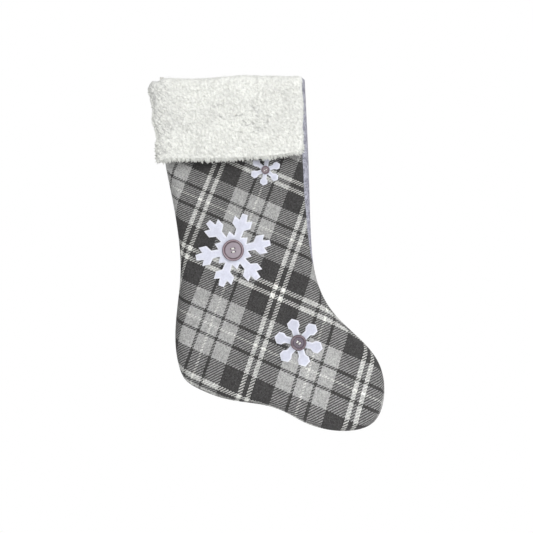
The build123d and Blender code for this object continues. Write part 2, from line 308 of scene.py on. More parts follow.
# --- Materials ----------------------------------------------------------------------------------
class Nodes:
    """Builds one material's nodes."""

    def __init__(self, name, roughness=0.9, sheen=0.0, coat=0.0, specular=0.3):
        self.material = bpy.data.materials.new(name)
        self.material.use_nodes = True
        self.tree = self.material.node_tree
        self.shader = self.tree.nodes["Principled BSDF"]
        self.shader.inputs["Roughness"].default_value = roughness
        self.shader.inputs["Specular IOR Level"].default_value = specular
        self.shader.inputs["Sheen Weight"].default_value = sheen
        self.shader.inputs["Sheen Roughness"].default_value = 0.5
        self.shader.inputs["Coat Weight"].default_value = coat
        self.shader.inputs["Coat Roughness"].default_value = 0.12
        self.place = self.node("ShaderNodeTexCoord").outputs["Object"]

    def node(self, kind, **settings):
        made = self.tree.nodes.new(kind)
        for key, value in settings.items():
            setattr(made, key, value)
        return made

    def feed(self, socket, value):
        if isinstance(value, bpy.types.NodeSocket):
            self.tree.links.new(value, socket)
        else:
            socket.default_value = value

    def math(self, operation, a, b=0.0, c=0.0):
        made = self.node("ShaderNodeMath", operation=operation)
        for socket, value in zip(made.inputs, (a, b, c)):
            self.feed(socket, value)
        return made.outputs[0]

    def mix(self, factor, a, b, blend="MIX"):
        made = self.node("ShaderNodeMix", data_type="RGBA", blend_type=blend)
        for name, value in (("Factor_Float", factor), ("A_Color", a), ("B_Color", b)):
            socket = next(s for s in made.inputs if s.identifier == name)
            self.feed(socket, value)
        return next(s for s in made.outputs if s.identifier == "Result_Color")

    def noise(self, scale, detail=3.0, rough=0.55, vector=None, stretch=None):
        made = self.node("ShaderNodeTexNoise")
        made.inputs["Scale"].default_value = scale
        made.inputs["Detail"].default_value = detail
        made.inputs["Roughness"].default_value = rough
        vector = vector or self.place
        if stretch:
            vector = self.mapped(vector, scale=stretch)
        self.feed(made.inputs["Vector"], vector)
        return made.outputs["Fac"]

    def mapped(self, vector, scale=(1, 1, 1), turn=(0, 0, 0)):
        made = self.node("ShaderNodeMapping")
        made.inputs["Scale"].default_value = scale
        made.inputs["Rotation"].default_value = turn
        self.feed(made.inputs["Vector"], vector)
        return made.outputs[0]

    def cloth(self):
        """The two coordinates that the cloth was given."""
        split = self.node("ShaderNodeSeparateXYZ")
        self.feed(split.inputs[0], self.node("ShaderNodeUVMap", uv_map="cloth").outputs[0])
        return split.outputs["X"], split.outputs["Y"]

    def away_from(self, x, z):
        """The distance from (x, z) in millimetres, seen from the front, in metres."""
        flat = self.node("ShaderNodeVectorMath", operation="MULTIPLY")
        self.feed(flat.inputs[0], self.place)
        flat.inputs[1].default_value = (1, 0, 1)
        off = self.node("ShaderNodeVectorMath", operation="DISTANCE")
        self.feed(off.inputs[0], flat.outputs[0])
        off.inputs[1].default_value = (x * MM, 0, z * MM)
        return off.outputs["Value"]

    def shaded(self, colour, value):
        """The colour made that many times as bright."""
        made = self.node("ShaderNodeHueSaturation")
        self.feed(made.inputs["Color"], colour)
        self.feed(made.inputs["Value"], value)
        return made.outputs[0]

    def ramp(self, factor, stops, constant=False):
        made = self.node("ShaderNodeValToRGB")
        ramp = made.color_ramp
        if constant:
            ramp.interpolation = "CONSTANT"
        while len(ramp.elements) < len(stops):
            ramp.elements.new(0.5)
        for element, (at, colour) in zip(ramp.elements, stops):
            element.position = at
            element.color = colour
        self.feed(made.inputs["Fac"], factor)
        return made.outputs["Color"]

    def span(self, value, low, high, to_low, to_high):
        made = self.node("ShaderNodeMapRange")
        for socket, v in zip(made.inputs, (value, low, high, to_low, to_high)):
            self.feed(socket, v)
        return made.outputs[0]

    def bump(self, height, distance, strength=1.0):
        made = self.node("ShaderNodeBump")
        made.inputs["Distance"].default_value = distance
        made.inputs["Strength"].default_value = strength
        self.feed(made.inputs["Height"], height)
        if self.shader.inputs["Normal"].is_linked:
            self.feed(made.inputs["Normal"], self.shader.inputs["Normal"].links[0].from_socket)
        self.feed(self.shader.inputs["Normal"], made.outputs[0])

    def colour(self, value):
        self.feed(self.shader.inputs["Base Color"], value)
        return self.material


def rgb(r, g, b):
    """Linear colour from display values of 0 to 255."""
    shares = (r / 255, g / 255, b / 255)
    return tuple(c / 12.92 if c <= 0.04045 else ((c + 0.055) / 1.055) ** 2.4 for c in shares) + (1,)


# Tartan: half a repeat of the stripes, in millimetres from the middle of a double cream stripe.
SETT_HALF = 70.9
DARK, LIGHT, CREAM = rgb(68, 67, 67), rgb(176, 176, 175), rgb(232, 233, 228)
SETT = [(0, DARK), (2.9, CREAM), (8.7, DARK), (34.5, LIGHT), (55.9, DARK), (59.7, LIGHT), (69.3, CREAM)]
THREAD = 0.97  # thread pitch
YARN_FUZZ = 0.33  # how much the darker yarn's fibres spread over the paler one at each crossing


def tartan():
    m = Nodes("tartan_wool", roughness=0.95, sheen=0.06, specular=0.1)
    thread_across, thread_down = m.cloth()
    across = m.math("MULTIPLY_ADD", m.noise(900, 2), 0.25, thread_across)
    down = m.math("MULTIPLY_ADD", m.noise(760, 2), 0.25, thread_down)
    i, j = m.math("FLOOR", across), m.math("FLOOR", down)
    in_i, in_j = m.math("FRACT", across), m.math("FRACT", down)

    def stripes(index):
        place = m.math("MULTIPLY", m.math("ADD", index, 0.5), THREAD)
        fold = m.math("DIVIDE", m.math("PINGPONG", place, SETT_HALF), SETT_HALF)
        return m.ramp(fold, [(at / SETT_HALF, yarn_colour) for at, yarn_colour in SETT], constant=True)

    step = m.math("FLOORED_MODULO", m.math("ADD", i, j), 4.0)
    warp_over = m.math("LESS_THAN", step, 1.5)
    weft, warp = stripes(j), stripes(i)
    yarn = m.mix(YARN_FUZZ, m.mix(warp_over, weft, warp), m.mix(1.0, weft, warp, blend="DARKEN"))
    # Each yarn is round across its width and dives under at both ends of its two-thread float.
    half_step = m.math("FLOORED_MODULO", step, 2.0)

    def rounded(across_it, along_it):
        on_float = m.math("MULTIPLY", m.math("ADD", half_step, along_it), pi / 2)
        return m.math("MULTIPLY", m.math("SINE", m.math("MULTIPLY", across_it, pi)), m.math("SINE", on_float))

    height = m.node("ShaderNodeMix")
    for socket, value in ((0, warp_over), (2, rounded(in_j, in_i)), (3, rounded(in_i, in_j))):
        m.feed(height.inputs[socket], value)
    height = m.math("POWER", m.math("MAXIMUM", height.outputs[0], 0.0001), 0.5)
    coarse = m.span(m.noise(430, 3, 0.7), 0.38, 0.62, 0.76, 1.24)
    fine = m.span(m.noise(1000, 2, 0.6), 0.38, 0.62, 0.78, 1.22)
    patches = m.span(m.noise(60, 2), 0.3, 0.7, 0.94, 1.06)
    heather = m.math("MULTIPLY", m.math("MULTIPLY", coarse, fine), patches)
    # The heather's random tone, times painted shade where each yarn dives under its neighbour.
    shade = m.math("MULTIPLY", heather, m.span(height, 0.0, 1.0, 0.62, 1.08))
    lint = m.span(m.noise(1500, 3, 0.8, stretch=(1, 1, 0.35)), 0.55, 0.75, 0.0, 0.4)
    m.bump(height, 0.35 * MM, 0.8)
    m.bump(m.noise(2600, 2), 0.12 * MM, 0.7)
    return m.colour(m.mix(lint, m.shaded(yarn, shade), rgb(140, 140, 142)))


HAIR_LIES = (20, 75, 140)  # the ways that the felt's hairs lie, in degrees


def felt(name, tint, fleck, amount, grain, clouding):
    """Pressed fibres: a mottled colour with short crossing hairs."""
    m = Nodes(name, roughness=0.96, sheen=0.08, specular=0.1)
    hairs = 0.0
    for lie in HAIR_LIES:
        along = m.mapped(m.place, turn=(0, radians(lie), 0))
        hairs = m.math("MAXIMUM", m.noise(grain, 5, 0.7, vector=along, stretch=(0.25, 1, 1)), hairs)
    clouds = m.noise(120, 4, 0.6)
    low = 0.465 + 0.5 * clouding
    factor = m.span(m.math("MULTIPLY_ADD", clouds, clouding, hairs), low, low + 0.17, 0.0, amount)
    m.bump(hairs, 0.25 * MM, 0.6)
    m.bump(clouds, 0.5 * MM, 0.3)
    return m, m.mix(factor, tint, fleck)


def back_felt():
    m, colour = felt("back_felt", rgb(112, 111, 122), rgb(186, 187, 200), 1.0, 480, 0.25)
    return m.colour(colour)


def flake_felt(name, tint, centre, under):
    """White felt with a painted highlight along its cut edge, and painted shade where the button sits on it,
    which shows dark through the button's holes. Its own coordinates give the distance from the cut edge, in
    millimetres."""
    fleck = tuple(0.84 * c for c in tint[:3]) + (1,)
    m, colour = felt(f"{name}_white_felt", tint, fleck, 0.75, 700, 0.5)
    from_edge, _ = m.cloth()
    # Painted highlight: paler colour along the cut edge, where its fuzz would catch the light.
    painted_edge_highlight = m.span(from_edge, 0.6, 2.6, 0.45, 0.0)
    colour = m.mix(painted_edge_highlight, colour, rgb(248, 249, 254))
    # Painted shade: nearly black felt under the button, seen through its holes.
    painted_light = m.span(m.away_from(*centre[:2]), 0.7 * under * MM, 0.95 * under * MM, 1.0, 0.0)
    return m.colour(m.mix(painted_light, colour, rgb(62, 56, 62)))


def pile(name, tint, root):
    """Curled pile: mottled between a paler tint and a warmer, darker root colour, with painted shade, carried
    in its cloth coordinates, between the clumps and in the folds.
    """
    m = Nodes(name, roughness=1.0, sheen=0.1, specular=0.05)
    m.shader.inputs["Subsurface Weight"].default_value = 0.2
    m.shader.inputs["Subsurface Radius"].default_value = (1.0, 0.98, 0.95)
    m.shader.inputs["Subsurface Scale"].default_value = 1.0 * MM
    fluff = m.noise(900, 4, 0.75)
    clumps = m.noise(260, 3, 0.6)
    factor = m.span(m.math("MULTIPLY_ADD", fluff, 0.5, clumps), 0.62, 0.95, 0.0, 0.6)
    m.bump(fluff, 0.4 * MM, 0.5)
    drift = m.span(m.noise(32, 3, 0.6), 0.35, 0.65, 0.0, 0.3)
    painted_shade, _ = m.cloth()
    # Painted shade: the cloth coordinates say how far to darken towards grey.
    colour = m.mix(drift, m.mix(factor, tint, root), root)
    return m.colour(m.mix(painted_shade, colour, rgb(150, 150, 156)))


def woven(name, tint, shade, pitch, twill=False):
    """A plain or herringbone weave from the cloth's own coordinates, in millimetres."""
    m = Nodes(name, roughness=0.85, sheen=0.1, specular=0.25)
    u, v = (m.math("DIVIDE", place, pitch) for place in m.cloth())
    if twill:
        v = m.math("ADD", v, m.math("PINGPONG", u, 4.0))
    a = m.math("SINE", m.math("MULTIPLY", u, pi))
    b = m.math("SINE", m.math("MULTIPLY", v, pi))
    weave = m.math("ABSOLUTE", b if twill else m.math("MULTIPLY", a, b))
    mottle = m.noise(300, 3)
    # Painted shade: the darker colour fills the gaps between the threads and the paler one their crowns,
    # under a random mottle.
    factor = m.math("MULTIPLY_ADD", mottle, 0.5, m.math("MULTIPLY", weave, 0.6))
    m.bump(weave, 0.15 * MM, 0.8)
    return m.colour(m.mix(factor, shade, tint))


def thread(name, tint, shade):
    m = Nodes(name, roughness=0.6, sheen=0.1, specular=0.4)
    strands = m.noise(1800, 3, 0.6, stretch=(1, 0.3, 1))
    m.bump(strands, 0.1 * MM, 0.6)
    return m.colour(m.mix(strands, shade, tint))


def turned(points, clockwise):
    """Points turned clockwise by that many degrees about (0, 0)."""
    a = radians(clockwise)
    return np.stack(
        [points[:, 0] * cos(a) + points[:, 1] * sin(a), points[:, 1] * cos(a) - points[:, 0] * sin(a)], axis=1
    )


def hole_places(centre, pitch, turn):
    """The centres of a button's four holes."""
    square = np.array([(a * pitch / 2, b * pitch / 2) for a in (-1, 1) for b in (-1, 1)])
    return turned(square, turn) + centre[:2]


def button_plastic(name, centre, radii, holes, colours, gloss):
    """Moulded plastic with a faint pearly cloud in it and a darker rim. It has painted shade in the groove,
    along the outer edge and in the four holes, and a painted highlight ring on the rim. radii are those of
    the dish, the groove and the button, in millimetres."""
    m = Nodes(name, roughness=gloss, coat=0.8, specular=0.5)
    hole, pitch, turn = holes
    to_hole = 1.0
    for x, z in hole_places(centre, pitch, turn):
        to_hole = m.math("MINIMUM", m.away_from(x, z), to_hole)
    # Painted shade in and round the four holes.
    shadow = m.span(to_hole, 0.9 * hole * MM, 1.35 * hole * MM, 0.16, 1.0)
    away = m.math("DIVIDE", m.away_from(*centre[:2]), radii[2] * MM)
    a, b = radii[0] / radii[2], radii[1] / radii[2]
    # The third colour is a painted highlight ring on the rim. The groove colour paints shade in the groove
    # and along the outer edge.
    dish, rim, painted_light, groove = colours
    stops = [
        (0, dish), (a - 0.05, dish), (a, groove), (b, groove), (b + 0.06, rim),
        (0.89, painted_light), (0.93, rim), (0.965, groove),
    ]
    fine = m.noise(900, 3, 0.6)
    m.feed(m.shader.inputs["Roughness"], m.span(fine, 0.3, 0.7, gloss - 0.07, gloss + 0.1))
    m.bump(fine, 0.05 * MM, 0.25)
    cloud = m.span(m.noise(110, 4, 0.6), 0.3, 0.7, 0.9, 1.1)
    return m.colour(m.shaded(m.ramp(away, stops), m.math("MULTIPLY", cloud, shadow)))


TARTAN = tartan()
BACK_FELT = back_felt()
SHERPA = pile("sherpa_pile", rgb(249, 250, 245), rgb(207, 207, 204))
LINING = woven("lining_cloth", rgb(216, 213, 204), rgb(182, 178, 168), 0.45)
BACKING = woven("cuff_backing_knit", rgb(226, 223, 212), rgb(194, 190, 178), 0.8)
TAPE = woven("herringbone_tape", rgb(242, 241, 235), rgb(212, 210, 203), 0.6, twill=True)
CREAM_THREAD = thread("cream_thread", rgb(255, 255, 253), rgb(243, 241, 233))
GREY_THREAD = thread("grey_thread", rgb(120, 120, 124), rgb(80, 80, 84))
FLAKES = {"large": (3.6, -236, 55), "medium": (91.8, -360.7, 38), "small": (47.2, -127.7, 26)}  # x, z, reach
# The radius, pitch and turn of each button's holes.
HOLES = {"large": (1.05, 4.4, -12), "medium": (1.0, 3.9, -54), "small": (0.65, 2.3, 58)}
BUTTON_RADII = {"large": (10.9, 11.7, 14.6), "medium": (6.9, 7.4, 10.8), "small": (4.0, 4.5, 5.7)}
BUTTON_SLOTS = {"large": "button_pale", "medium": "button_dark", "small": "button_mid"}
BUTTON_GLOSS = {"large": 0.35, "medium": 0.28, "small": 0.3}
BUTTON_COLOURS = {  # of the dish, the rim, the rim's painted highlight ring, and the painted shade in the groove
    "large": (rgb(152, 141, 150), rgb(134, 114, 123), rgb(166, 148, 156), rgb(84, 66, 74)),
    "medium": (rgb(103, 93, 105), rgb(90, 74, 84), rgb(116, 98, 106), rgb(66, 54, 64)),
    "small": (rgb(138, 123, 130), rgb(116, 102, 110), rgb(132, 116, 124), rgb(84, 70, 78)),
}
FLAKE_TINTS = {"large": rgb(214, 216, 230), "medium": rgb(198, 200, 214), "small": rgb(207, 209, 224)}
BUTTON_PLASTICS, FLAKE_FELTS = {}, {}
for size, at in FLAKES.items():
    radii = BUTTON_RADII[size]
    BUTTON_PLASTICS[size] = button_plastic(
        BUTTON_SLOTS[size], at, radii, HOLES[size], BUTTON_COLOURS[size], BUTTON_GLOSS[size]
    )
    FLAKE_FELTS[size] = flake_felt(size, FLAKE_TINTS[size], at, radii[2])

for node, material in {
    "side_seam_thread": GREY_THREAD,
    "facing_thread": CREAM_THREAD,
    "cuff_hem_thread": CREAM_THREAD,
    "loop_stitches": CREAM_THREAD,
}.items():
    for slot_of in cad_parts[node].material_slots:
        slot_of.material = material

# --- The stocking's outline, in millimetres as (x, z) ---------------------------------------------
HEEL_SIDE = [(-102, 0), (-88, -122), (-79, -167), (-72, -209), (-68, -262), (-75, -345), (-69.5, -395)]
SOLE = [(-62, -411), (-45, -423), (0, -439), (50, -447), (80, -458.5), (95, -467), (118, -476), (158, -481)]
TOE_SIDE = [(193, -470), (208.5, -428), (200, -387), (172, -353), (139, -320), (120, -286)]
SHIN_SIDE = [(109, -216), (105.5, -112), (102, -35), (100.5, 0)]
SEAM_Y = -14.0
DEPTH = 14.0  # of each half of the stocking
EDGE_ROLL = 15.0  # how far in from the edge the cloth goes on curving
PUCKERED = 24.0  # how far in from the edge the seam's puckers reach
TOP_Z = 0.0
# On the shin side the felt back rolls round to the front: (z, how far in from the edge the seam is).
ROLLED_SEAM = [
    (-262, 0.0), (-253, 0.8), (-242, 2.0), (-229, 3.0), (-209, 4.6), (-188, 5.5), (-161, 7.3), (-134, 7.8),
    (-114, 8.1), (-60, 8.1), (0, 7.0),
]

SPACING = 4.0
EDGE_SPACING = 0.7 * SPACING
edge_line = smooth_curve(
    [(HEEL_SIDE[0][0] - 2.5, 20), *HEEL_SIDE, *SOLE, *TOE_SIDE, *SHIN_SIDE, (SHIN_SIDE[-1][0] - 0.7, 20)], 0.5
)
edge_line = edge_line[edge_line[:, 1] < TOP_Z]
EDGE_TREE = tree_of(edge_line)
edge_out = square_to(np.gradient(edge_line, axis=0))
shin = edge_line[(edge_line[:, 1] > ROLLED_SEAM[0][0]) & (edge_line[:, 0] > 50)]
seam_inset = np.interp(shin[:, 1], *np.array(ROLLED_SEAM).T)[:, None]
seam_line = (shin - square_to(np.gradient(shin, axis=0)) * seam_inset)[::-1]
SEAM_TREE = tree_of(seam_line)


def calm(points):
    """1 away from the snowflakes, falling to 0 under them, where the cloth lies flat."""
    keep = np.ones(len(points))
    for x, z, reach in FLAKES.values():
        away = np.hypot(points[:, 0] - x, points[:, 1] - z)
        keep *= np.clip((away - reach * 0.8) / (reach * 0.6), 0.0, 1.0)
    return keep


def roll(points):
    """How far the cloth stands off the seam plane, from 0 at the edge to 1."""
    return quarter_round(nearest(EDGE_TREE, points), EDGE_ROLL)


def laid_flat(points):
    """Where the cloth at each point was before its edge was rolled over, as (x, z)."""
    found = [EDGE_TREE.find((p[0], p[1], 0)) for p in points]
    level = 1 - np.clip(np.array([away for _, _, away in found]) / EDGE_ROLL, 0, 1)
    longer = (EDGE_ROLL + DEPTH) / 2 * np.arcsin(level) - EDGE_ROLL * level
    return points + edge_out[[index for _, index, _ in found]] * np.maximum(longer, 0)[:, None]


def near_edge(points):
    """1 on the edge, falling to 0 where the seam's puckers end."""
    return 1 - np.clip(nearest(EDGE_TREE, points) / PUCKERED, 0, 1)


def front_y(points):
    """The front surface's y in millimetres."""
    r = roll(points)
    near_seam = nearest(SEAM_TREE, points)
    y = SEAM_Y - DEPTH * r
    y += 0.9 * r * calm(points) * ripple(points, 48, 3.1)
    y += 0.7 * near_edge(points) * r * ripple(points, 9, 8.3)  # the seam's puckers
    return y + 1.5 * np.exp(-((near_seam / 1.8) ** 2)) * np.clip(r * 2, 0, 1)


def back_y(points):
    """The back surface's y in millimetres."""
    r = roll(points)
    y = SEAM_Y + DEPTH * r
    y -= 0.7 * r * (1 + ripple(points, 60, 5.7))
    return y + 0.6 * near_edge(points) * r * ripple(points, 9, 1.9)


def settle(points):
    """The back's top lowered a little on the free side, where the cuff sags with it, and its other
    corner rounded."""
    drop = 1.2 + 5.5 * np.clip((60 - points[:, 0]) / 90, 0, 1) - 1.8 * np.clip((points[:, 0] - 78) / 12, 0, 1)
    corner = 5.0 * np.clip((points[:, 0] - 94.5) / 6, 0, 1) ** 1.8
    near_top = np.clip(1 + points[:, 1] / 40, 0, 1)
    return np.stack([points[:, 0], points[:, 1] - (drop + corner) * near_top**2], axis=1)


def cloth_mm(points):
    """The cut's own coordinates for cloth without a pattern."""
    return points[:, [0, 1]]


# The tartan as it lies on the stocking: the two sets of stripes lean, and fan out slightly to the toe.
CROSSING = (58.1, -289.6)  # where two double cream stripes cross


def weave_uv(points):
    """Thread counts across (U) and down (V) the tartan at each point."""
    right, down = points[:, 0] - CROSSING[0], CROSSING[1] - points[:, 1]
    across = -7.05 + 0.957 * right + 0.331 * down - 2.9e-4 * right * down - 1.6e-4 * down**2
    below = -1.2 - 0.393 * right + 0.873 * down + 2.1e-4 * right * down - 3.1e-4 * down**2
    return np.stack([across, below], axis=1) / THREAD


def at_y(points, y):
    """Points in metres from (x, z) and y in millimetres."""
    return np.stack([points[:, 0], y, points[:, 1]], axis=1) * MM


# --- The stocking's panels ----------------------------------------------------------------------
PANEL_MM = 2.2  # how thick the tartan and the felt are
TARTAN_TOP = -7.0
felt_from = len(edge_line) - len(seam_line)  # where along the outline the seam leaves it
tartan_loop = np.concatenate([edge_line[:felt_from], seam_line[::-1]])
tartan_loop = evenly(tartan_loop[tartan_loop[:, 1] < TARTAN_TOP], EDGE_SPACING)


def top_row(loop, z, step=SPACING):
    """The loop with points step apart along its straight top, so that the mouth can be shaped."""
    left, right = loop[0], loop[-1]
    n = int(abs(right[0] - left[0]) / step)
    row = np.stack([np.linspace(right[0], left[0], n + 1)[1:-1], np.full(n - 1, z)], axis=1)
    return np.concatenate([loop, row])


tartan_points, tartan_faces = triangulate([top_row(tartan_loop, TARTAN_TOP)], SPACING)
tartan_verts = at_y(tartan_points, front_y(tartan_points))
tartan_uv = weave_uv(laid_flat(tartan_points))
front = add_mesh("tartan_front", tartan_verts, tartan_faces, TARTAN, "tartan_wool", "stocking", uv=tartan_uv)
SEWN = 3  # how near to a seam the cloth is held
FRONT_SLACK = 1.0  # the furthest that the tartan moves off its formed shape
HELD_BY_CUFF = -95  # the z above which the tartan is held
sewn_front = (nearest(EDGE_TREE, tartan_points) < SEWN) | (nearest(SEAM_TREE, tartan_points) < SEWN)
slacken(front, sewn_front | (tartan_points[:, 1] > HELD_BY_CUFF), FRONT_SLACK * MM * calm(tartan_points))
thicken(front, PANEL_MM * MM, levels=1)
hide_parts("front_panel")

back_loop = clean_loop(evenly(edge_line, EDGE_SPACING), 1.0)
back_points, back_faces = triangulate([top_row(back_loop, TOP_Z)], SPACING)
strip_edge = evenly(edge_line[felt_from:], EDGE_SPACING)
strip_seam = evenly(seam_line, EDGE_SPACING)
strip_loop = clean_loop(np.concatenate([strip_edge, strip_seam]), 0.8)
strip_points, strip_faces = triangulate([strip_loop], 2.5)
felt_verts, felt_faces = join([
    (at_y(settle(back_points), back_y(back_points)), back_faces[:, ::-1]),
    (at_y(settle(strip_points), front_y(strip_points)), strip_faces),
])
BACK_SLACK = 0.8  # the furthest that the felt moves off its formed shape
felt_uv = np.concatenate([cloth_mm(back_points), cloth_mm(strip_points)])
back = add_mesh("felt_back", felt_verts, felt_faces, BACK_FELT, "back_felt", "stocking", uv=felt_uv)
back.modifiers.new("weld", "WELD").merge_threshold = 0.6 * MM
apply_modifiers(back)
felt_at = np.empty(3 * len(back.data.vertices))
back.data.vertices.foreach_get("co", felt_at)
felt_at = felt_at.reshape(-1, 3) / MM
sewn_back = (nearest(EDGE_TREE, felt_at[:, [0, 2]]) < SEWN) | (felt_at[:, 1] < SEAM_Y + 1)
slacken(back, sewn_back | (felt_at[:, 2] > -12), BACK_SLACK * MM)
thicken(back, PANEL_MM * MM, levels=1)
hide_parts("back_panel")

# --- Cuff ---------------------------------------------------------------------------------------
CUFF_EDGE = [
    (-104.5, -8.2), (-109.5, -14), (-105.5, -41), (-104, -68), (-100.5, -78), (-99.5, -95), (-99, -110),
    (-96.5, -116.8), (-89.5, -116), (-80, -114.4), (-53, -114.4), (-18, -114.4), (17, -112.6), (49, -111.2),
    (71, -108.6), (88, -106), (94.5, -104.8), (96.8, -100), (97.4, -68), (98.2, -36), (96.4, -12),
    (95.4, -3.4), (93.4, -1.8), (86, -1.6), (70, -1.6), (54, -1.3), (11, -0.8), (-37, -4.8), (-86, -4.4),
    (-92, -5.2), (-97, -8.2), (-104.5, -8.2),
]
CUFF_MIDDLE_Y = -33.4
CUFF_FRONT = 8.6  # of the pile in front of the plane where front and back meet
CUFF_BACK = 1.2
CUFF_ROLL = 4.2
FOLD_ROLL = 7.5  # along the fold at the mouth, rounder so that the cuff clears the facing when it is lifted
HEM_ROLL = 2.6  # along the hem, where the pile fluffs out square
LUMP = 3.8  # across a curl's clump
LUMP_HEIGHT = 2.2
CURL = 2.1  # across one curl
CURL_HEIGHT = 1.3
COMBED = np.array([0.78, -0.63])  # the way that the pile is combed near the free side, as (x, z)


def tufted(loop):
    """The cuff's edge drawn in and out by the pile's clumps, most along the hem."""
    hem = np.clip(-loop[:, 1] / 60, 0.25, 1.0)[:, None]
    return loop + hem * np.stack([0.7 * ripple(loop, 4.5, 21.3), 1.3 * ripple(loop, 4.5, 27.1)], axis=1)


cuff_loop = clean_loop(tufted(smooth_curve(CUFF_EDGE, 1.0)), 0.5)
CUFF_TREE = tree_of(smooth_curve(CUFF_EDGE, 0.5))


def clumps(points, size, seed):
    """The pile's lumpy height, from 0 between clumps to about 1 on top of them."""
    bend = np.stack([ripple(points, 1.6 * size, seed), ripple(points, 1.6 * size, seed + 9)], axis=1)
    bent = points + 0.3 * size * bend
    near = np.array([noise.voronoi((p[0] / size, p[1] / size, seed))[0][0] for p in bent])
    return np.clip(1.1 - 1.2 * near, 0, 1) ** 0.8


def lean(points):
    """How much the pile is combed, from 0 to 1 near the free side."""
    return np.clip((-64 - points[:, 0]) / 32, 0, 1)


def along_combing(points, shorter, narrower):
    """The points as (along, across) the combing, each at that scale."""
    return np.stack([points @ COMBED * shorter, points @ (-COMBED[1], COMBED[0]) * narrower], axis=1)


def combed(points, size, seed):
    """Clumps that come out long and narrow along the combing near the free side."""
    locks = clumps(along_combing(points, 0.45, 1.3), size, seed)
    return clumps(points, size, seed) * (1 - lean(points)) + locks * lean(points)


def partings(points):
    """Short thin gaps between the combed locks near the free side, as depths from 0 to 1."""
    line = np.abs(ripple(along_combing(points, 0.38, 1), 2.8, 33.1, 3))
    return np.exp(-((line / 0.07) ** 2)) * lean(points)


def creases(points):
    """A few long thin folds in the pile, as depths from 0 to 1."""
    line = np.abs(ripple(points * (0.5, 1.0), 20, 12.5, 4))
    where = np.clip(1.3 - np.hypot(points[:, 0] / 75, (points[:, 1] + 62) / 30), 0, 1)
    broken = np.clip(ripple(points, 7, 15.5) * 3 + 0.7, 0, 1)
    return np.exp(-((line / 0.06) ** 2)) * where * broken


def near_fold(points):
    """From 0 to 1 near the fold at the mouth."""
    return np.clip((18 + points[:, 1]) / 8, 0, 1)


def cuff_depth(points):
    """How round the cuff is at each point, from 0 on its edge to 1."""
    free_side = np.clip((-75 - points[:, 0]) / 20, 0, 1)
    hem = np.clip((-88 - points[:, 1]) / 12, 0, 1)
    fold = near_fold(points)
    reach = (CUFF_ROLL * (1 - fold) + FOLD_ROLL * fold) * (1 + free_side) * (1 - hem) + HEM_ROLL * hem
    return quarter_round(nearest(CUFF_TREE, points), reach)


cuff_points, cuff_faces = triangulate([cuff_loop], 0.8)
depth = cuff_depth(cuff_points)
clump, curl = combed(cuff_points, LUMP, 2.7), combed(cuff_points, CURL, 6.1)
folds, gaps = creases(cuff_points), partings(cuff_points)
lumps = LUMP_HEIGHT * clump + CURL_HEIGHT * curl
sunk = 1.1 * ripple(cuff_points, 26, 4.4) + 2.4 * folds + 1.9 * gaps
cuff_front_y = CUFF_MIDDLE_Y - CUFF_FRONT * depth + sunk * depth
cuff_front_y -= lumps * np.clip(depth + 0.3, 0, 1) * (1 - 0.4 * near_fold(cuff_points)) - 0.8
free_edge = np.clip((-94 - cuff_points[:, 0]) / 10, 0, 1)
# Painted shade between the clumps and curls, in the creases and partings, and along the free side, passed to
# the pile's material in its cloth coordinates.
painted_shade = 0.08 * (1 - clump) ** 2 + 0.09 * (1 - curl) ** 2 + 0.4 * folds + 0.5 * gaps + 0.12 * free_edge
flat_points, flat_faces = triangulate([cuff_loop], 7.0)
cuff_verts, cuff_tris = join([
    (at_y(cuff_points, cuff_front_y), cuff_faces),
    (at_y(flat_points, CUFF_MIDDLE_Y + CUFF_BACK * cuff_depth(flat_points) ** 0.5), flat_faces[:, ::-1]),
])
painted_shade = np.concatenate([np.clip(painted_shade, 0, 0.8), np.zeros(len(flat_points))])
painted_shade_uv = np.stack([painted_shade, painted_shade], axis=1)
cuff = add_mesh("cuff_pile", cuff_verts, cuff_tris, SHERPA, "sherpa", "cuff", uv=painted_shade_uv)
cuff.modifiers.new("weld", "WELD").merge_threshold = 0.5 * MM
apply_modifiers(cuff)
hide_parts("cuff_band")


def scatter(verts, faces, count):
    """Random places on a mesh and its normals there, on the faces that don't look back."""
    a, b, c = (verts[faces[:, k]] for k in range(3))
    cross = np.cross(b - a, c - a)
    size = np.linalg.norm(cross, axis=1)
    normal = cross / np.maximum(size, 1e-12)[:, None]
    weight = size * (normal[:, 1] <= 0.5)
    pick = rng.choice(len(faces), count, p=weight / weight.sum())
    r, s = rng.random(count), rng.random(count)
    r, s = np.where(r + s > 1, 1 - r, r)[:, None], np.where(r + s > 1, 1 - s, s)[:, None]
    return a[pick] + (b - a)[pick] * r + (c - a)[pick] * s, normal[pick]


def tubes(lines, square_with, radius, sides):
    """Vertices and quads of a tube round each row of points. Its sides are square with a direction, and
    radius is the tube's at each point of a row."""
    along = np.gradient(lines, axis=1)
    along /= np.linalg.norm(along, axis=2)[..., None] + 1e-12
    side = np.cross(along, np.broadcast_to(square_with, along.shape))
    side /= np.linalg.norm(side, axis=2)[..., None] + 1e-12
    up = np.cross(side, along)
    turn = np.linspace(0, 2 * pi, sides, endpoint=False)[:, None]
    rings = lines[:, :, None] + radius[:, None, None] * (
        side[:, :, None] * np.cos(turn) + up[:, :, None] * np.sin(turn)
    )
    count, points = lines.shape[:2]
    c, k, j = np.meshgrid(np.arange(count), np.arange(points - 1), np.arange(sides), indexing="ij")
    first, after = (c * points + k) * sides, (j + 1) % sides
    quads = np.stack([first + j, first + sides + j, first + sides + after, first + after], axis=-1)
    return rings.reshape(-1, 3), quads.reshape(-1, 4)


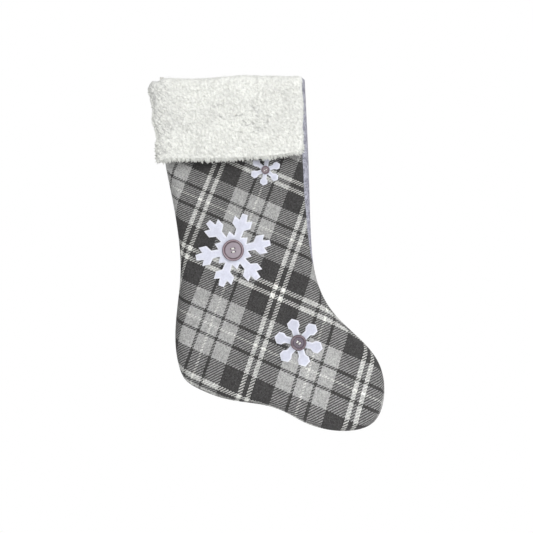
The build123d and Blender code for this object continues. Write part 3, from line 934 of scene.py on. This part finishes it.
def tufts(places, normals, comb, size, thickness, turns, lift, points=8):
    """Vertices and quads of one tapered curl at each place, each a shrinking spiral."""
    count = len(places)

    def draw(low, high):
        return rng.uniform(low, high, count)[:, None]

    a = rng.normal(size=(count, 3)) + comb
    a -= normals * np.sum(a * normals, axis=1)[:, None]
    a /= np.linalg.norm(a, axis=1)[:, None]
    b = np.cross(normals, a)
    tilt = draw(0.2, 1.2)
    b = b * np.cos(tilt) + normals * np.sin(tilt)
    t = np.linspace(0, 1, points)[None, :]
    size = size * draw(0.7, 1.3)
    angle = draw(0, 2 * pi) + np.where(rng.random(count) < 0.5, -1, 1)[:, None] * draw(*turns) * t
    radius = size * (1 - 0.5 * t)
    line = places[:, None] + normals[:, None] * (size * lift)[:, None]
    line = line + a[:, None] * (radius * np.cos(angle))[..., None]
    line = line + b[:, None] * (radius * np.sin(angle))[..., None]
    line = line + a[:, None] * (size * draw(-0.3, 0.9) * t)[..., None]
    return tubes(line, normals[:, None], thickness * (1 - 0.65 * t[0] ** 2), 3)


COMB = np.array([0.5, 0, -0.75])
CURLS = 6400  # in each layer
for part in range(3):
    places, normals = scatter(cuff_verts, cuff_tris, CURLS)
    combing = COMB * np.clip(1.0 + (-70 * MM - places[:, :1]) / (30 * MM), 0.15, 2.5)
    curls = tufts(places, normals, combing, 0.9 * MM, 0.15 * MM, (1.5, 4.0), 0.1, points=6)
    add_mesh(f"cuff_curls_{part + 1}", *curls, SHERPA, "sherpa", "cuff")

on_hem = np.clip((-85 - cuff_loop[:, 1]) / 20, 0.06, 1)
FRINGE_TUFTS = 2000
rim_places = cuff_loop[rng.choice(len(cuff_loop), FRINGE_TUFTS, p=on_hem / on_hem.sum())]
rim_out = rim_places - cuff_loop.mean(0)
rim_in = at_y(rim_places, CUFF_MIDDLE_Y - rng.uniform(0.5, 6, FRINGE_TUFTS))
rim_normal = np.stack([rim_out[:, 0] / 105, -rng.uniform(0.1, 1.2, FRINGE_TUFTS), rim_out[:, 1] / 58], axis=1)
rim_normal /= np.linalg.norm(rim_normal, axis=1)[:, None]
fringe = tufts(rim_in, rim_normal, COMB, 1.5 * MM, 0.17 * MM, (0.6, 2.0), 0.4)
add_mesh("cuff_fringe", *fringe, SHERPA, "sherpa", "cuff")

LOCKS = 380
HEM_TIP = (1.4, 4.4)  # how far the locks' tips reach beyond the edge
LOCK_SPREAD = 1.7  # half the width of a lock's roots
LOCK_STRANDS = 9
LOCK_WIDTH = 0.32  # half of one strand's


def strands(roots, tips, width):
    """Vertices and quads of one tapered, slightly bowed strand from each root to its tip."""
    t = np.linspace(0, 1, 6)[None, :, None]
    bow = rng.normal(0, 0.35 * MM, (len(roots), 1, 3)) * np.sin(pi * t)
    line = roots[:, None] * (1 - t) + tips[:, None] * t + bow
    return tubes(line, (0.0, 1.0, 0.0), width * (1 - 0.8 * t[0, :, 0] ** 2), 4)


def hem_locks():
    """Locks of fibre that meet in points over the cuff's hem and free side."""
    edge = evenly(smooth_curve(CUFF_EDGE, 0.5), 0.5)
    out = -square_to(np.gradient(edge, axis=0))
    out *= -1 if inside(edge, (edge[60] + out[60])[None])[0] else 1
    below = np.clip((-85 - edge[:, 1]) / 25, 0, 1)
    free = np.clip((-80 - edge[:, 0]) / 20, 0, 1)
    chance = below + np.where(edge[:, 1] < -20, 0.35 * free + 0.04, 0)
    at = rng.choice(len(edge), LOCKS, p=chance / chance.sum())
    reach = rng.uniform(*HEM_TIP, len(at)) * (0.25 + 0.75 * below[at])
    heading = out[at] + np.stack([0.25 * below[at], -0.35 * free[at]], axis=1)
    heading = heading + rng.normal(0, 0.18, (len(at), 2))
    tip = edge[at] + heading * reach[:, None]
    depth_y = CUFF_MIDDLE_Y - rng.uniform(3.5, 9.8, len(at))
    run = -square_to(out[at])
    roots, tips = [], []
    for _ in range(LOCK_STRANDS):
        across = rng.uniform(-LOCK_SPREAD, LOCK_SPREAD, len(at))[:, None]
        root = edge[at] - out[at] * rng.uniform(1.6, 2.8, len(at))[:, None] + run * across
        end = tip + run * across * 0.18 + rng.normal(0, 0.15, (len(at), 2))
        roots.append(at_y(root, depth_y + 0.6))
        tips.append(at_y(end, depth_y - 0.4 + rng.normal(0, 0.5, len(at))))
    return strands(np.concatenate(roots), np.concatenate(tips), LOCK_WIDTH * MM)


add_mesh("cuff_locks", *hem_locks(), SHERPA, "sherpa", "cuff")

# The plain knit behind the pile, as one thin rippled sheet without its turned-under edges.
BACKING_MM = 1.1
backing_edge = [
    (-100.5, -13.5), (-98, -80), (-96.5, -108), (-93, -113), (-82, -112.4), (-38, -109.6), (6, -105.2),
    (53, -103.6), (88, -99), (92, -95), (93, -40), (92, -13.5), (86, -12.6), (-2, -12.6), (-92, -12.6),
    (-100.5, -13.5),
]
backing_loop = clean_loop(smooth_curve(backing_edge, 3.0), 1.0)
backing_points, backing_faces = triangulate([backing_loop], 4.0)
backing_y = -31.0 + 0.25 * ripple(backing_points, 22, 6.6)
backing = add_mesh(
    "cuff_lining", at_y(backing_points, backing_y), backing_faces[:, ::-1], BACKING, "cuff_backing", "cuff",
    uv=cloth_mm(backing_points),
)
thicken(backing, BACKING_MM * MM)
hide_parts("cuff_backing")

# --- Snowflakes ---------------------------------------------------------------------------------
FELT_MM = 1.5
BRANCHED_ARM = [(51.3, 4.3), (42.1, 7), (46.9, 15.5), (36.8, 20.7), (29.5, 10.8), (20, 14.5)]
BRANCHED_SPIKE = 26.3
PADDLE_ARM = [(33.6, 0), (28.7, 8), (22, 8), (18, 4.6), (8.5, 4.6)]
SMALL_SCALE = 21.3 / 33.6
ARMS = 6


def branched():
    one = [(r * sin(radians(d)), r * cos(radians(d))) for r, d in BRANCHED_ARM]
    arm = [(-x, z) for x, z in reversed(one)] + one
    arm.append((BRANCHED_SPIKE * sin(pi / ARMS), BRANCHED_SPIKE * cos(pi / ARMS)))
    return np.concatenate([turned(np.array(arm), 60 * k) for k in range(ARMS)])


def paddles(scale):
    one = [(w, r) for r, w in PADDLE_ARM]
    arm = [(-x, z) for x, z in reversed(one[1:])] + one
    return scale * np.concatenate([turned(np.array(arm), 60 * k) for k in range(ARMS)])


def inset_loop(loop, by):
    """A closed loop moved inwards, each point along the mean of its two edges' normals."""
    before, after = loop - np.roll(loop, 1, 0), np.roll(loop, -1, 0) - loop
    n = square_to(before) + square_to(after)
    n /= np.maximum(np.linalg.norm(n, axis=1), 0.6)[:, None]
    return loop - n * by * (1 if inside(loop, (loop - 1e-3 * n)[:1])[0] else -1)


def plate(points, faces, front, back):
    """The vertices and faces of a closed solid from a flat mesh and its front and back heights. The faces
    of its walls come last, and their number is given too."""
    n = len(points)
    edges = np.concatenate([faces[:, [0, 1]], faces[:, [1, 2]], faces[:, [2, 0]]])
    keys = {(int(a), int(b)) for a, b in edges}
    rim_edges = np.array([(a, b) for a, b in keys if (b, a) not in keys])
    a, b = rim_edges[:, 0], rim_edges[:, 1]
    verts = np.concatenate([at_y(points, front), at_y(points, back)])
    walls = np.concatenate([np.stack([a, a + n, b + n], axis=1), np.stack([a, b + n, b], axis=1)])
    return verts, np.concatenate([faces, faces[:, ::-1] + n, walls]), len(walls)


def areas(points, faces):
    """The area of each flat triangle, above 0 where it faces -Y."""
    a, b, c = (points[faces[:, k]] for k in range(3))
    return ((b[:, 0] - a[:, 0]) * (c[:, 1] - a[:, 1]) - (b[:, 1] - a[:, 1]) * (c[:, 0] - a[:, 0])) / 2


def facing_front(points, faces):
    """The faces turned so that they face -Y."""
    return np.where(areas(points, faces)[:, None] > 0, faces, faces[:, ::-1])


def cut_edge(corners, step):
    """A closed loop with its corners kept and points step apart between them."""
    pairs = zip(corners, np.roll(corners, -1, axis=0))
    return np.concatenate([evenly(np.array(pair), step)[:-1] for pair in pairs])


def snowflake(name, corners, turn, seed):
    x, z, _ = FLAKES[name]
    loop = turned(corners, turn) + (x, z)
    border = cut_edge(loop, 1.0)
    inner = inset_loop(border, 0.5)
    points, faces = triangulate([border], 1.5, extra=inner)
    faces = facing_front(points, faces)
    away = np.hypot(points[:, 0] - x, points[:, 1] - z)
    reach = np.hypot(corners[:, 0], corners[:, 1]).max()
    lift = 0.35 * (1 + ripple(points, 11, seed)) * np.clip(away / 12, 0, 1) + 0.7 * (away / reach) ** 3
    edge = nearest(tree_of(border), points)
    back_at = front_y(points) - 0.35 - lift
    round_edge = 0.4 * (1 - np.clip(edge / 0.5, 0, 1)) ** 2
    puff = 0.5 * np.clip(edge / 3, 0, 1) + 0.5 * ripple(points, 8, seed + 3) * np.clip(edge / 2, 0, 1)
    verts, tris, walls = plate(points, faces, back_at - FELT_MM + round_edge - puff, back_at)
    from_edge = np.stack([edge, edge], axis=1)
    piece = add_mesh(
        f"{name}_felt_snowflake", verts, tris, FLAKE_FELTS[name], "white_felt", f"{name}_ornament",
        uv=np.concatenate([from_edge, from_edge]),
    )
    flat = np.ones(len(piece.data.polygons), bool)
    flat[-walls:] = False
    piece.data.polygons.foreach_set("use_smooth", flat)
    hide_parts(f"{name}_snowflake")


snowflake("large", branched(), 18.5, 1.3)
snowflake("medium", paddles(1), -16, 5.2)
snowflake("small", paddles(SMALL_SCALE), 8.5, 9.4)


# --- Buttons ------------------------------------------------------------------------------------
BUTTON_SIDES = 72
BUTTON_STEP = 0.8  # between the dish's rings of points


def button(name, profile):
    """A four-hole button. profile is (radius, height) from the middle out."""
    hole, pitch, turn = HOLES[name]
    radius = BUTTON_RADII[name][2]
    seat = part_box(f"{name}_button")[1][1] / MM
    centre = np.array(FLAKES[name][:2])
    spots = hole_places(centre, pitch, turn)

    def from_holes(points):
        return np.min([np.linalg.norm(points - spot, axis=1) for spot in spots], axis=0)

    radii = sorted({r for r, _ in profile if 0 < r < radius})
    extra = [centre[None]]
    for r in np.arange(0.7, radii[0], BUTTON_STEP):
        points = circle(r, max(8, int(2 * pi * r / BUTTON_STEP)), centre)
        extra.append(points[from_holes(points) > hole * 1.25])
    extra += [circle(r, BUTTON_SIDES, centre) for r in radii]
    loops = [circle(radius, BUTTON_SIDES, centre)] + [circle(hole, 14, spot) for spot in spots]
    points, faces = triangulate(loops, 1.0, extra=np.concatenate(extra), fill=False)
    faces = facing_front(points, faces)
    away = np.linalg.norm(points - centre, axis=1)
    height = np.interp(away, *np.array(profile).T)
    height -= 0.25 * (1 - np.clip((from_holes(points) - hole) / 0.4, 0, 1)) ** 2
    back = np.interp(away, [0, radius - 0.9, radius], [0, 0, 0.8])
    verts, tris, _ = plate(points, faces, seat - height, seat - back)
    plastic = BUTTON_PLASTICS[name]
    piece = add_mesh(f"{name}_sewn_button", verts, tris, plastic, BUTTON_SLOTS[name], f"{name}_ornament")
    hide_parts(f"{name}_button")


def lip(outer, width, top, floor, groove):
    """Profile points of a rounded rim that falls to the floor inside it."""
    a = np.linspace(0, pi / 2, 7)
    half = width / 2
    points = [(outer - half + half * cos(t), top - half + half * sin(t)) for t in a]
    points += [(outer - half - half * sin(t), floor + (top - floor) * cos(t) ** 1.5) for t in a[1:]]
    last = outer - width
    points += [(last - 0.25, floor - groove), (last - 0.6, floor - groove)]
    points += [(last - 1.0, floor), (0, floor + 0.12)]
    return sorted(points)


button("large", lip(14.6, 2.9, 3.6, 2.4, 0.4))
button("medium", lip(10.8, 3.3, 3.4, 2.1, 0.2))
button("small", lip(5.7, 1.2, 2.4, 1.7, 0.1))


PLY_STEP = 0.18 * MM
PLY_NORMAL = (0.3, 1, 0.2)


def two_ply(path, radius, pitch=1.6):
    """A twisted two-ply thread along a path, in metres."""
    line = evenly(path, PLY_STEP)
    run = np.arange(len(line)) * PLY_STEP
    side, up = sideways(line, PLY_NORMAL)
    plies = []
    for phase in (0, pi):
        a = (2 * pi * run / (pitch * MM) + phase)[:, None]
        middle = line + 0.5 * radius * (side * np.cos(a) + up * np.sin(a))
        plies.append(sweep(middle, circle(0.55 * radius, 6), PLY_NORMAL))
    return plies


def button_thread(name, height, radius):
    """The strands that show over the button, each from hole to hole."""
    _, pitch, turn = HOLES[name]
    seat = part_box(f"{name}_button")[1][1] / MM
    top, low, half = seat - height - radius * 0.8, seat - 0.2, pitch / 2
    # How far along a strand each point of its route is, and its y.
    route = [
        (0, low), (0.03, top + 0.5), (0.2, top), (0.5, top - 0.12), (0.8, top), (0.97, top + 0.5), (1, low)
    ]
    parts = []
    for side_at in (-half - 0.6 * radius, -half + 0.6 * radius, half - 0.6 * radius, half + 0.6 * radius):
        ends = turned(np.array([(-0.6 * half, side_at), (0.6 * half, side_at)]), turn) + FLAKES[name][:2]
        share, y = np.array(route).T
        points = ends[0] * (1 - share[:, None]) + ends[1] * share[:, None]
        line = smooth_curve(np.stack([points[:, 0], y, points[:, 1]], axis=1), 0.2) * MM
        parts += two_ply(line, radius * MM)
    verts, quads = join(parts)
    piece = add_mesh(f"{name}_sewing_thread", verts, quads, CREAM_THREAD, "cream_thread", f"{name}_ornament")
    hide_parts(f"{name}_button_thread")


button_thread("large", 2.45, 0.62)
button_thread("medium", 2.15, 0.6)
button_thread("small", 1.75, 0.3)

# --- Hanging loop -------------------------------------------------------------------------------
PIVOT = (-92.0, -1.5)
TAPE_MIDDLE_Y = -14.0
TAPE_WIDTH = 10.0
TAPE_MM = 1.0


def tape_section():
    """A flat tape's section with a slightly thicker selvedge at each edge."""
    w, t = TAPE_WIDTH / 2 - 0.1, TAPE_MM / 2
    edge = [(0.6 * t, w), (1.15 * t, w - 0.35), (t, w - 1.0), (0.9 * t, w - 1.6), (t, 0)]
    right = edge + [(x, -y) for x, y in reversed(edge[:-1])]
    return np.array(right + [(-x, y) for x, y in reversed(right)]) * MM


def tape(route, slant):
    """A tape along (x, z) points that hang from the pivot, slanting that many degrees to +X."""
    line = turned(smooth_curve(route, 1.0), -slant) + PIVOT
    return sweep(at_y(line, np.full(len(line), TAPE_MIDDLE_Y)), tape_section(), (0, 1, 0))


NECK = 0.62  # half the distance between the two plies' middles
loop_half = [(NECK, 0), (NECK, -8), (NECK, -16), (NECK + 0.2, -22), (4.2, -36), (7.3, -48), (6.6, -57)]
loop_route = [(-x, z) for x, z in loop_half] + [(0, -61.2)] + loop_half[::-1]
verts, quads, uv = tape(loop_route, 15)
loop = add_mesh("tape_loop", verts, quads, TAPE, "tape", "loop", uv=uv)
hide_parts("hanging_loop")

tail_parts = [tape([(x, 0.5), (x, -7), (x, -14.4)], 7) for x in (-NECK - 2.9, NECK - 2.9)]
verts, quads = join(tail_parts)
tail_uv = np.concatenate([part[2] for part in tail_parts])
tail = add_mesh("tape_tail", verts, quads, TAPE, "tape", "stocking", uv=tail_uv)
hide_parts("loop_tail")

# --- Linings and mouth facing -------------------------------------------------------------------
LINING_INSET = 4.3
LINING_ROLL = 10
LINING_MM = 0.7


def lining(name, node, top, stand, seed, forward):
    """The lining of one panel, below top. stand is how far its middle stands off the seam's plane, above 0
    at the back, and forward is how far all of it is then moved to the front."""
    inner = clean_loop(evenly(edge_line, 5.0), 1.0)
    inner = inner - square_to(np.gradient(inner, axis=0)) * LINING_INSET
    inner[:, 1] = np.minimum(inner[:, 1], top)
    points, faces = triangulate([top_row(inner, top, 6)], 7.0)
    faces = faces[:, ::-1] if stand > 0 else faces
    rise = quarter_round(nearest(EDGE_TREE, points) - LINING_INSET, LINING_ROLL)
    y = SEAM_Y + stand * rise + 0.5 * ripple(points, 30, seed) - forward
    verts = at_y(settle(points), y)
    piece = add_mesh(name, verts, faces, LINING, "lining", "stocking", uv=cloth_mm(points))
    thicken(piece, LINING_MM * MM, offset=0, levels=1)
    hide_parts(node)
    return piece


front_lining = lining("lining_front", "front_lining", -7.5, 3.6 - DEPTH, 2.2, 0.3)
back_lining = lining("lining_back", "back_lining", -0.6, DEPTH - 4.2, 7.2, 0.5)

FACING_PROFILE = [  # (y, z)
    (-29.2, -16), (-29.4, -15), (-29.5, -11), (-29.3, -7), (-28.2, -5.4), (-26.4, -4.8), (-24.2, -5.4),
    (-22.9, -7), (-22.7, -14), (-22.6, -23), (-22.8, -31), (-23.6, -32), (-24.2, -31), (-24.2, -18),
    (-24.2, -8.4), (-25.2, -7.2), (-27.4, -7.1), (-28.3, -8), (-28.5, -11), (-28.6, -15.4), (-29.2, -16),
]
facing_ring = smooth_curve(FACING_PROFILE, 1.0)[:-1]
facing_x = np.arange(-88, 84.5, 1.2)
grid_x, grid_k = np.meshgrid(facing_x, np.arange(len(facing_ring)), indexing="ij")
facing_verts = np.stack([grid_x, facing_ring[grid_k, 0], facing_ring[grid_k, 1]], axis=-1)
flat_place = np.stack([grid_x.ravel(), grid_k.ravel() * 1.0], axis=1)
bulge = (clumps(flat_place, LUMP, 8.8) - 0.4).reshape(grid_x.shape)
outward = square_to(np.roll(facing_ring, -1, 0) - np.roll(facing_ring, 1, 0))
side_sign = -1 if inside(facing_ring, (facing_ring + 0.2 * outward)[:1])[0] else 1
is_pile = (np.arange(len(facing_ring)) < 0.52 * len(facing_ring))[None]
facing_verts[..., 1:] += (bulge * is_pile)[..., None] * 0.6 * side_sign * outward[None]
facing_verts = facing_verts.reshape(-1, 3) * MM
m = len(facing_ring)
first, k = np.meshgrid(np.arange(len(facing_x) - 1) * m, np.arange(m), indexing="ij")
after = (k + 1) % m
facing_quads = np.stack([first + k, first + after, first + m + after, first + m + k], axis=-1).reshape(-1, 4)
facing = add_mesh("mouth_pile_facing", facing_verts, facing_quads, SHERPA, "sherpa", "stocking")
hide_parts("mouth_facing")

# --- Stage and light ------------------------------------------------------------------------------
world = bpy.data.worlds.new("studio")
scene.world = world
world.use_nodes = True
tree = world.node_tree
background = tree.nodes["Background"]
path = tree.nodes.new("ShaderNodeLightPath")
level = tree.nodes.new("ShaderNodeMapRange")
tree.links.new(path.outputs["Is Camera Ray"], level.inputs[0])
level.inputs["To Min"].default_value = 0.55
level.inputs["To Max"].default_value = 1.0
tree.links.new(level.outputs[0], background.inputs["Strength"])
background.inputs["Color"].default_value = (1, 1, 1, 1)


def lamp(name, place, target, size, power, spread=180):
    data = bpy.data.lights.new(name, "AREA")
    data.size = size
    data.energy = power
    data.spread = radians(spread)
    ob = bpy.data.objects.new(name, data)
    scene.collection.objects.link(ob)
    ob.location = place
    ob.rotation_euler = (Vector(target) - Vector(place)).to_track_quat("-Z", "Y").to_euler()


AIM = (0.05, 0, -0.24)
lamp("key", (1.0, -1.7, 0.9), AIM, 0.9, 27)
lamp("fill", (-1.4, -1.6, -0.1), AIM, 1.6, 7)
lamp("low", (0.6, -0.8, -0.8), (0.2, 0, -0.44), 0.35, 0.17, 28)
lamp("rear", (0.5, 1.8, 0.9), AIM, 1.4, 14)
scene.view_settings.view_transform = "Standard"

FLOOR_Z, FLOOR_REACH = -0.97, 1.6
floor_mesh = bpy.data.meshes.new("floor")
corners = [(x * FLOOR_REACH, y * FLOOR_REACH, FLOOR_Z) for x, y in ((-1, -1), (1, -1), (1, 1), (-1, 1))]
floor_mesh.from_pydata(corners, [], [(0, 1, 2, 3)])
floor_ob = bpy.data.objects.new("floor", floor_mesh)
floor_nodes = Nodes("floor_paper", roughness=0.9)
floor_mesh.materials.append(floor_nodes.colour(rgb(240, 240, 240)))
scene.collection.objects.link(floor_ob)
